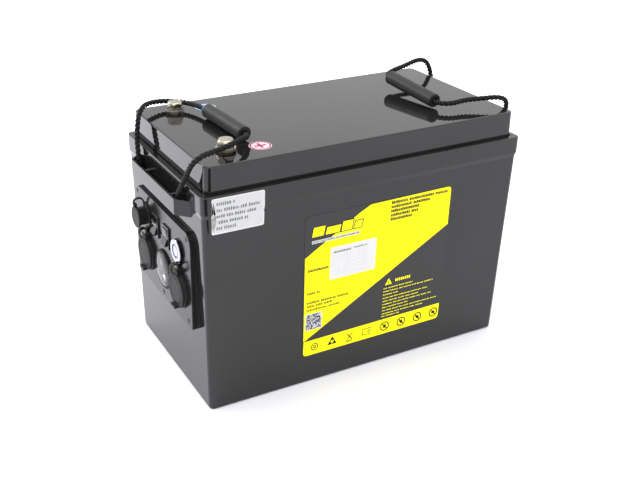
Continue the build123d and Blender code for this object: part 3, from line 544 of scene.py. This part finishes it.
NODE_FINISH = {
    "container": "case", "lid": "lid", "lid_seal": "seal", "rope_retaining_pins": "dark_steel",
    "front_label": "label_black", "data_sticker": "spec_paper", "seal_sticker": "sticker",
    "positive_mark": "pink", "negative_mark": "blue_disc",
    "positive_terminal": "brass", "positive_washers": "nickel", "positive_bolt": "bolt",
    "negative_terminal": "brass", "negative_washers": "nickel", "negative_bolt": "bolt",
    "left_handle_rope": "rope", "left_anchored_rope": "rope", "left_grip": "grip_rubber",
    "right_handle_rope": "rope", "right_anchored_rope": "rope", "right_grip": "grip_rubber",
    "panel_plate": "panel", "panel_gasket": "seal", "panel_screws": "dark_steel",
    "near_socket_body": "fitting", "far_socket_body": "fitting",
    "near_socket_strap": "cap_rubber", "far_socket_strap": "cap_rubber",
    "near_socket_sleeve": "nickel", "far_socket_sleeve": "nickel",
    "near_socket_contact": "brass", "far_socket_contact": "brass",
    "near_socket_cap": "cap_rubber", "far_socket_cap": "cap_rubber",
    "fitting_nuts": "fitting", "meter_body": "bezel", "meter_lens": "lens", "meter_display": "display",
    "button_body": "chrome", "button_light_ring": "blue_ring", "button_cap": "chrome",
    "button_spring": "steel", "button_nut": "nickel",
    "near_rocker_housing": "switch", "far_rocker_housing": "switch",
    "near_rocker": "switch", "far_rocker": "switch",
    "charge_port_body": "fitting", "charge_port_pins": "brass", "charge_port_cap": "cap_rubber",
    "cell_1": "cell", "cell_2": "cell", "cell_3": "cell", "cell_4": "cell",
    "cell_base_pad": "foam", "cell_end_pads": "foam", "busbars": "copper", "management_board": "alloy",
    "positive_cable": "red_cable", "negative_cable": "black_cable",
}
for node_name, finish in NODE_FINISH.items():
    finish_node(node_name, finish)
for rope in ropes.values():
    rope.data.materials.append(mats["rope"])


# ---- printed label on the front wall ----
WALL_LEAN = 2.1 / 188.0
INK_STEP = 0.00006


def leaning_face(low, high):
    """Makes a function that puts points, x and z in millimetres, on a sheet on the leaning wall."""
    def place(x, z, layer):
        height = z * 0.001
        y = low[1] + (high[2] - height) * WALL_LEAN - layer * INK_STEP
        return Vector((x * 0.001, y, height))
    return place


on_front = leaning_face(*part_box("front_label"))


def print_shapes(name, outlines, material, layer, place=on_front, body="battery"):
    """Flat printed shapes, each a list of (x, z) corners in millimetres, as one piece."""
    bm = bmesh.new()
    for outline in outlines:
        corners = [bm.verts.new(place(a, b, layer)) for a, b in outline]
        face = bm.faces.new(corners)
        bmesh.ops.triangulate(bm, faces=[face])
    piece = link_mesh(name, bm, smooth=False)
    piece.data.materials.append(mats[material])
    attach(piece, body)
    return piece


def rounded(points, radii, steps=5):
    """The outline with each corner rounded by its own radius."""
    result = []
    count = len(points)
    for i in range(count):
        corner = Vector(points[i])
        before = (Vector(points[i - 1]) - corner)
        after = (Vector(points[(i + 1) % count]) - corner)
        radius = radii[i]
        if radius <= 0:
            result.append(tuple(corner))
            continue
        half = before.angle(after) / 2
        reach = radius / (sin(half) / cos(half))
        start = corner + before.normalized() * reach
        stop = corner + after.normalized() * reach
        for k in range(steps + 1):
            t = k / steps
            point = start * (1 - t) ** 2 + corner * (2 * t * (1 - t)) + stop * t ** 2
            result.append(tuple(point))
    return result


def bar(x0, x1, z0, z1):
    """A rectangle of ink."""
    return [(x0, z0), (x1, z0), (x1, z1), (x0, z1)]


def text_bars(x0, x1, z, height, letter=1.6, gap=0.55, word=(3, 9)):
    """One line of unreadable print: short blocks in word-like groups."""
    blocks = []
    x = x0
    left = random.randint(*word)
    while x < x1 - 0.3:
        width = letter * random.uniform(0.6, 1.0)
        high = height * random.uniform(0.75, 1.0)
        blocks.append(bar(x, min(x + width, x1), z, z + high))
        x += width + gap
        left -= 1
        if left == 0:
            x += letter * 0.8
            left = random.randint(*word)
    return blocks


def ring_shape(cx, cz, outer, inner, steps=28):
    """Quads that make a flat ring."""
    quads = []
    for k in range(steps):
        a = 2 * pi * k / steps
        b = 2 * pi * (k + 1) / steps
        quads.append([
            (cx + inner * cos(a), cz + inner * sin(a)), (cx + outer * cos(a), cz + outer * sin(a)),
            (cx + outer * cos(b), cz + outer * sin(b)), (cx + inner * cos(b), cz + inner * sin(b))])
    return quads


def slanted(cx, cz, length, width, angle):
    """A bar turned about its middle."""
    c, s = cos(angle), sin(angle)
    corners = bar(-length / 2, length / 2, -width / 2, width / 2)
    return [(cx + a * c - b * s, cz + a * s + b * c) for a, b in corners]


def triangle(cx, cz, size, turn=0.0):
    """An equal-sided triangle, point up."""
    return [(cx + size * cos(turn + pi / 2 + k * 2 * pi / 3), cz + size * sin(turn + pi / 2 + k * 2 * pi / 3))
            for k in range(3)]


yellow_main = rounded(
    [(-65.8, 131.4), (-64.9, 46.2), (-64.5, 45.4), (86.9, 132.7), (86.9, 171.3), (0.2, 170.4), (-2.5, 169.2),
     (-12.0, 164.4)],
    [0, 0, 0, 0, 4.0, 0, 0, 0])
yellow_strip = rounded([(-64.8, 29.4), (86.2, 30.4), (86.6, 47.2), (-64.6, 45.0)], [4.0, 4.0, 1.2, 0.4])
print_shapes("label_yellow", [yellow_main, yellow_strip], "yellow", 1)

# A plain block mark in place of a name, yellow on black and outlined in black where it crosses the yellow.
name_blocks = []
name_shadow = []
for start, width, tall in ((-59.5, 11.5, 9.0), (-46.0, 14.0, 6.8), (-30.0, 10.5, 9.0), (-17.0, 7.5, 6.8)):
    low, lean = 150.8, 1.6
    name_blocks.append([(start, low), (start + width, low), (start + width + lean, low + tall),
                        (start + lean, low + tall)])
    name_shadow.append([(start - 1.0, low - 0.9), (start + width + 0.9, low - 0.9),
                        (start + width + lean + 1.1, low + tall + 0.9),
                        (start + lean - 0.8, low + tall + 0.9)])
print_shapes("label_name_shadow", name_shadow, "label_black", 2)
print_shapes("label_name_blocks", name_blocks, "yellow", 3)
print_shapes("label_underline", [bar(-59.5, -10.5, 144.2, 147.2)], "white_ink", 3)
print_shapes("label_underline_print", text_bars(-58.5, -11.5, 144.9, 1.6, 1.1, 0.5), "grey_ink", 4)

brown = []
for z, x1 in ((166.0, 83.0), (161.9, 64.0), (157.8, 52.0), (153.7, 51.0), (149.6, 45.0)):
    brown += text_bars(21.5, x1, z, 3.1, 1.9, 0.35, (9, 20))
print_shapes("label_notes", brown, "brown_ink", 2)

dark = text_bars(-62.6, -41.5, 116.8, 2.8, 1.5, 0.4, (14, 20))
dark += text_bars(-62.6, -49.0, 93.8, 2.4, 1.4, 0.5, (4, 5))
dark += text_bars(-62.6, -19.0, 84.2, 2.5, 1.6, 0.5, (6, 9))
dark += text_bars(-62.6, -36.0, 80.6, 2.3, 1.5, 0.5, (4, 6))
dark += text_bars(-62.6, -28.0, 76.8, 2.1, 1.4, 0.5, (10, 16))
print_shapes("label_small_print", dark, "brown_ink", 2)

caution = [triangle(24.6, 85.5, 4.4)]
caution += text_bars(32.0, 50.0, 84.8, 3.1, 1.8, 0.7, (7, 8))
for z, x1 in ((79.2, 56.0), (75.8, 80.0), (72.4, 40.0), (68.8, 74.0), (65.4, 64.0), (62.0, 79.0),
              (58.6, 52.0),
              (55.2, 86.0), (51.8, 70.0), (48.9, 44.0)):
    caution += text_bars(19.5, x1 - 4, z, 1.2, 1.1, 0.55)
print_shapes("label_cautions", caution, "yellow", 1)
print_shapes("label_caution_mark", [bar(24.2, 25.0, 84.2, 87.4), bar(24.2, 25.0, 82.9, 83.6)], "black_ink", 2)

code_x, code_z, code_cell, code_side = -63.0, 57.2, 0.86, 18
code_field = [bar(code_x - 0.6, code_x + 16.6, code_z - 0.6, code_z + 16.6)]
print_shapes("label_code_field", code_field, "pale_ink", 2)
code = []
for i in range(code_side):
    for j in range(code_side):
        if random.random() < 0.5:
            x = code_x + i * code_cell + 0.2
            z = code_z + j * code_cell + 0.2
            code.append(bar(x, x + code_cell, z, z + code_cell))
print_shapes("label_code", code, "code_ink", 3)

icons = []
for place in range(8):
    cx = -53.0 + place * 18.8 + (1.5 if place > 3 else 0.0)
    cz = 37.4 + place * 0.16
    if place == 0:
        icons += ring_shape(cx, cz, 4.2, 3.2, 6)
        icons += ring_shape(cx, cz, 1.9, 0.9, 6)
    elif place == 1:
        for k in range(3):
            a = pi / 2 + k * 2 * pi / 3
            icons.append(triangle(cx + 2.8 * cos(a), cz + 2.8 * sin(a), 3.0, a - pi / 2))
    elif place == 2:
        icons += [slanted(cx, cz, 10.0, 0.9, 0.9), slanted(cx, cz, 10.0, 0.9, -0.9),
                  bar(cx - 3.0, cx + 3.0, cz - 5.4, cz - 4.4)]
    elif place == 3:
        icons += [bar(cx - 4.4, cx + 4.4, cz - 3.6, cz - 2.9), bar(cx - 4.4, cx + 4.4, cz + 2.9, cz + 3.6),
                  bar(cx - 4.4, cx - 3.7, cz - 3.4, cz + 3.4), bar(cx + 3.7, cx + 4.4, cz - 3.4, cz + 3.4),
                  bar(cx + 1.4, cx + 2.4, cz - 1.8, cz + 1.8)]
    else:
        icons += ring_shape(cx, cz, 5.0, 3.9)
        icons.append(slanted(cx, cz, 8.4, 1.0, -0.8))
        icons.append(slanted(cx, cz, 3.8, 3.0, 0.4 * place))
print_shapes("label_icons", icons, "black_ink", 2)

# Print on the small data sticker.
on_spec = leaning_face(*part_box("data_sticker"))
spec = text_bars(-37.0, -18.0, 130.2, 2.2, 1.3, 0.5, (9, 12))
spec += text_bars(-16.0, -2.0, 131.0, 1.6, 1.1, 0.5, (6, 9))
print_shapes("sticker_heading", spec, "grey_ink", 1, on_spec)
spec = []
for row in range(6):
    z = 125.6 - row * 3.4
    spec += text_bars(-37.0, -29.0, z, 1.1, 0.9, 0.6)
    spec += text_bars(-26.5, random.uniform(-6.0, 4.0), z, 1.1, 0.9, 0.6)
print_shapes("sticker_rows", spec, "pale_ink", 1, on_spec)

# ---- tamper sticker, folded over the rim ----
RIM_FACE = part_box("seal_sticker")[0][1]
CHAMFER_TOP = 0.192
CHAMFER_FOOT = 0.188
CHAMFER_IN = 0.001
STICKER_FILM = 0.00015


def on_rim(x, z, layer):
    """A point on the tamper sticker: upright on the rim, down the chamfer, then on the leaning wall."""
    height = z * 0.001
    if height >= CHAMFER_TOP:
        y = RIM_FACE
    elif height >= CHAMFER_FOOT:
        y = RIM_FACE + (CHAMFER_TOP - height) / (CHAMFER_TOP - CHAMFER_FOOT) * CHAMFER_IN
    else:
        y = RIM_FACE + CHAMFER_IN + (CHAMFER_FOOT - height) * WALL_LEAN
    return Vector((x * 0.001, y - layer * INK_STEP, height))


def rim_sheet(name, outline, material, layer):
    """A thin sheet with the given outline, cut into bands so that it folds over the rim."""
    bm = bmesh.new()
    face = bm.faces.new([bm.verts.new((a, 0.0, b)) for a, b in outline])
    bmesh.ops.triangulate(bm, faces=[face])
    for height in (188.0, 189.0, 190.0, 191.0, 192.0):
        bmesh.ops.bisect_plane(bm, geom=bm.verts[:] + bm.edges[:] + bm.faces[:], plane_co=(0, 0, height),
                               plane_no=(0, 0, 1))
    for vertex in bm.verts:
        vertex.co = on_rim(vertex.co.x, vertex.co.z, layer)
    piece = link_mesh(name, bm, smooth=False)
    piece.data.materials.append(mats[material])
    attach(piece, "battery")
    return piece


sticker_outline = [(-153.8, 173.6), (-106.2, 173.5), (-106.0, 186.2), (-107.2, 187.0), (-106.0, 187.8),
                   (-106.0, 205.6), (-153.8, 205.8), (-153.8, 188.2), (-151.0, 185.4), (-153.8, 184.6)]
sticker = rim_sheet("tamper_sticker", rounded(sticker_outline, [2, 2, 0, 0, 0, 2, 2, 0, 0, 0]), "sticker", 0)
solidify = sticker.modifiers.new("film", "SOLIDIFY")
solidify.thickness = STICKER_FILM
solidify.offset = -1.0
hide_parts("seal_sticker")
field_outline = [(-152.3, 174.9), (-107.4, 174.9), (-107.4, 185.6), (-108.8, 187.0), (-107.4, 188.4),
                 (-107.4, 204.4), (-152.3, 204.5), (-152.3, 188.6), (-149.4, 185.6), (-152.3, 184.2)]
rim_sheet("tamper_sticker_field", rounded(field_outline, [1, 1, 0, 0, 0, 1, 1, 0, 0, 0]), "sticker_field", 1)
lines = []
for z, x0, x1 in ((199.4, -149.5, -132.5), (193.8, -149.5, -110.5), (188.2, -149.5, -114.0),
                  (182.8, -147.5, -121.0),
                  (177.4, -149.5, -131.0)):
    lines += text_bars(x0, x1, z, 2.9, 1.6, 0.7, (3, 8))
bm = bmesh.new()
for outline in lines:
    bm.faces.new([bm.verts.new(on_rim(a, b, 2)) for a, b in outline])
sticker_print = link_mesh("tamper_sticker_print", bm, smooth=False)
sticker_print.data.materials.append(mats["grey_ink"])
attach(sticker_print, "battery")

# ---- polarity marks beside the terminals ----
for sign, colour in (("positive", "red_ink"), ("negative", "blue_ink")):
    low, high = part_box(sign + "_mark")
    middle_x = (low[0] + high[0]) * 500
    middle_y = (low[1] + high[1]) * 500
    top = high[2]

    def on_mark(x, y, layer, top=top):
        """A point on the disc, x and y in millimetres."""
        return Vector((x * 0.001, y * 0.001, top + layer * INK_STEP))

    shapes = ring_shape(middle_x, middle_y, 9.2, 7.9, 40)
    shapes.append(slanted(middle_x, middle_y, 10.6, 2.3, 0.0))
    if sign == "positive":
        shapes.append(slanted(middle_x, middle_y + 3.2, 4.2, 2.3, pi / 2))
        shapes.append(slanted(middle_x, middle_y - 3.2, 4.2, 2.3, pi / 2))
    print_shapes(sign + "_mark_print", shapes, colour, 1, on_mark)


# ---- socket panel ----
PANEL_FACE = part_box("panel_plate")[0][0]


def middle_of(node):
    """The middle of a CAD node's box."""
    low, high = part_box(node)
    return (Vector(low) + Vector(high)) / 2


def turned(name, profile, centre, material, body, around=64):
    """A piece turned about the X axis: profile is (distance out of the panel, radius) in metres."""
    bm = bmesh.new()
    rings = []
    for out, radius in profile:
        x = PANEL_FACE - out
        if radius <= 0:
            rings.append([bm.verts.new((x, centre.y, centre.z))])
            continue
        rings.append([bm.verts.new((x, centre.y + radius * cos(2 * pi * k / around),
                                    centre.z + radius * sin(2 * pi * k / around))) for k in range(around)])
    for low_ring, high_ring in zip(rings, rings[1:]):
        for k in range(around):
            after = (k + 1) % around
            corners = [low_ring[k % len(low_ring)], low_ring[after % len(low_ring)],
                       high_ring[after % len(high_ring)], high_ring[k % len(high_ring)]]
            unique = list(dict.fromkeys(corners))
            if len(unique) > 2:
                bm.faces.new(unique)
    piece = link_mesh(name, bm)
    piece.data.materials.append(mats[material])
    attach(piece, body)
    return piece


def strap(name, points, wide, thick, across, material):
    """A flat rubber tether along a smooth line, with rounded edges."""
    line = spline_points(points, 0.0006)
    side = Vector(across).normalized()
    bm = bmesh.new()
    frames = []
    for i in range(len(line)):
        tangent = (line[min(i + 1, len(line) - 1)] - line[max(i - 1, 0)]).normalized()
        frames.append((side, tangent.cross(side).normalized()))
    sweep(bm, line, frames, wide / 2, thick / 2, 14)
    piece = link_mesh(name, bm)
    piece.data.materials.append(mats[material])
    return piece


# Rubber tethers that arch from each strap ring to the top of its cap.
SOCKET_TETHER_WIDE = 0.0058
PORT_TETHER_WIDE = 0.0040
TETHER_THICK = 0.0016
for end in ("near", "far"):
    centre = middle_of(end + "_socket_sleeve")
    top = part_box(end + "_socket_strap")[1][2]
    face = PANEL_FACE
    cap_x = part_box(end + "_socket_cap")[0][0] + 0.0009
    points = [(face - 0.0006, centre.y, top - 0.0060), (face - 0.0007, centre.y, top - 0.0020),
              (face - 0.0014, centre.y, top + 0.0022), (face - 0.0050, centre.y, top + 0.0040),
              (face - 0.0082, centre.y, top + 0.0014), (cap_x - 0.0016, centre.y, top - 0.0026),
              (cap_x + 0.0006, centre.y, top - 0.0062)]
    tether = strap(end + "_tether", points, SOCKET_TETHER_WIDE, TETHER_THICK, (0, 1, 0), "cap_rubber")
    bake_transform(tether)

port_centre = middle_of("charge_port_body")
cap_low, cap_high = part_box("charge_port_cap")
port_top = cap_high[2]
cap_face = cap_low[0]
points = [(PANEL_FACE - 0.0012, port_centre.y, port_top - 0.0060),
          (PANEL_FACE - 0.0018, port_centre.y, port_top - 0.0010),
          (PANEL_FACE - 0.0030, port_centre.y, port_top + 0.0030),
          (PANEL_FACE - 0.0070, port_centre.y, port_top + 0.0048),
          (cap_face - 0.0006, port_centre.y, port_top + 0.0030),
          (cap_face - 0.0012, port_centre.y, port_top - 0.0012),
          (cap_face + 0.0006, port_centre.y, port_top - 0.0050)]
tether = strap("port_tether", points, PORT_TETHER_WIDE, TETHER_THICK, (0, 1, 0), "cap_rubber")
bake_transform(tether)

# Marks on the rockers.
PADDLE_PIVOT_OUT = 0.0018
for end in ("near", "far"):
    centre = middle_of(end + "_rocker_housing")
    y, z = centre.y * 1000, centre.z * 1000
    paddle_low, paddle_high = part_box(end + "_rocker")

    def on_paddle(a, b, layer, low=paddle_low, middle=centre):
        """A point on the raised half of a rocker; the paddle leans back towards its pivot."""
        height = b * 0.001
        share = (height - middle.z) / (paddle_high[2] - middle.z)
        pivot_x = PANEL_FACE - PADDLE_PIVOT_OUT
        x = pivot_x + (low[0] - pivot_x) * max(share, 0.0) * 0.93
        if height < middle.z:
            x = pivot_x - 0.0004 * (middle.z - height) / 0.008
        return Vector((x - layer * INK_STEP - 0.00004, a * 0.001, height))

    upper = ring_shape(y, z + 4.4, 1.7, 1.2, 20)
    lower = [bar(y - 0.3, y + 0.3, z - 6.0, z - 2.8)]
    print_shapes(end + "_rocker_marks", upper + lower, "white_ink", 1, on_paddle, end + "_rocker_paddle")

# The meter: a crowned glass over a dark display with plain bars.
meter = middle_of("meter_display")
lens_low, lens_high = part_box("meter_lens")
lens_radius = (lens_high[2] - lens_low[2]) / 2
crown = 0.0016
steps = 10
profile = [(PANEL_FACE - lens_high[0], 0.0), (PANEL_FACE - lens_high[0], lens_radius)]
edge_out = PANEL_FACE - lens_low[0] - 0.0002
for k in range(steps + 1):
    a = pi / 2 * k / steps
    profile.append((edge_out + crown * sin(a), lens_radius * cos(a)))
profile[-1] = (edge_out + crown, 0.0)
glass = turned("meter_glass", profile, meter, "lens", "battery")
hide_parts("meter_lens")
display_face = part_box("meter_display")[0][0]


def on_display(a, b, layer):
    """A point on the front of the meter's display."""
    return Vector((display_face - layer * INK_STEP, a * 0.001, b * 0.001))


bars = []
my, mz = meter.y * 1000, meter.z * 1000
for k in range(5):
    bars.append(bar(my - 6.6 + k * 2.8, my - 4.6 + k * 2.8, mz - 3.0, mz + 3.0))
print_shapes("meter_segments", bars, "segment", 1, on_display)

# Light blue liner that shows at the far end of the left grip.
grip_low, grip_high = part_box("left_grip")
liner_x = (grip_low[0] + grip_high[0]) / 2 - 0.0012
liner_z = (grip_low[2] + grip_high[2]) / 2
bm = bmesh.new()
liner_rings = []
for along, radius in ((-0.004, 0.0046), (0.0030, 0.0046), (0.0033, 0.0042), (0.0030, 0.0036),
                      (-0.004, 0.0036)):
    liner_rings.append([bm.verts.new((liner_x - along * 0.04 + radius * cos(2 * pi * k / 40),
                                      grip_high[1] + along,
                                      liner_z + radius * sin(2 * pi * k / 40))) for k in range(40)])
for inner, outer in zip(liner_rings, liner_rings[1:] + liner_rings[:1]):
    for k in range(40):
        bm.faces.new((inner[k], inner[(k + 1) % 40], outer[(k + 1) % 40], outer[k]))
liner = link_mesh("grip_liner", bm)
liner.data.materials.append(mats["blue_liner"])
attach(liner, "left_grip_tube")

# ---- floor and light ----
FLOOR_HALF = 6.0
FLOOR_DROP = 0.0002
SKY_HEIGHTS = (0.45, 0.75)
SKY_STRENGTHS = (1.15, 2.6)
bm = bmesh.new()
bmesh.ops.create_grid(bm, x_segments=1, y_segments=1, size=FLOOR_HALF)
floor = link_mesh("floor", bm, smooth=False)
floor.location = (0, 0, -FLOOR_DROP)
n = Nodes("floor_paper")
tone = n.noise(3.0, 3.0)
n.put(Base_Color=n.blend(tone, (0.75, 0.745, 0.77), (0.77, 0.765, 0.79)), Roughness=0.7,
      Specular_IOR_Level=0.1)
floor.data.materials.append(n.material)

world = bpy.data.worlds.new("studio")
world.use_nodes = True
scene.world = world
background = world.node_tree.nodes["Background"]
sky_place = world.node_tree.nodes.new("ShaderNodeTexCoord")
sky_split = world.node_tree.nodes.new("ShaderNodeSeparateXYZ")
sky_level = world.node_tree.nodes.new("ShaderNodeMapRange")
world.node_tree.links.new(sky_place.outputs["Generated"], sky_split.inputs["Vector"])
world.node_tree.links.new(sky_split.outputs["Z"], sky_level.inputs["Value"])
for socket, value in zip(("From Min", "From Max", "To Min", "To Max"), SKY_HEIGHTS + SKY_STRENGTHS):
    sky_level.inputs[socket].default_value = value
background.inputs["Color"].default_value = (0.985, 0.985, 1.0, 1)
world.node_tree.links.new(sky_level.outputs["Result"], background.inputs["Strength"])


def area_light(name, place, target, width, height, power, colour):
    """A soft box aimed at a point."""
    data = bpy.data.lights.new(name, "AREA")
    data.shape = "RECTANGLE"
    data.size = width
    data.size_y = height
    data.energy = power
    data.color = colour
    light = bpy.data.objects.new(name, data)
    scene.collection.objects.link(light)
    light.location = place
    light.rotation_euler = (Vector(target) - Vector(place)).to_track_quat("-Z", "Y").to_euler()
    return light


area_light("left_back_box", (-0.8, 0.9, 0.9), (-0.45, 0.50, 0.0), 0.5, 0.5, 12, (0.985, 0.985, 1.0))

# A dark card on the floor gives the rounded front corners their dark line. It is hidden from the camera,
# but its shadow shows on the floor from behind.
CARD_RISE = 0.001
bm = bmesh.new()
corners = [(-0.50, -0.90), (-0.08, -0.90), (-0.08, -0.42), (-0.50, -0.42)]
bm.faces.new([bm.verts.new((x, y, CARD_RISE)) for x, y in corners])
card = link_mesh("dark_card", bm, smooth=False)
card.visible_camera = False
n = Nodes("card_felt")
felt = n.noise(40.0, 4.0)
n.put(Base_Color=n.blend(felt, (0.004, 0.004, 0.004), (0.007, 0.007, 0.007)), Roughness=0.9,
      Specular_IOR_Level=0.0)
card.data.materials.append(n.material)

scene.view_settings.view_transform = "Standard"
scene.view_settings.look = "None"
scene.view_settings.exposure = 0.0
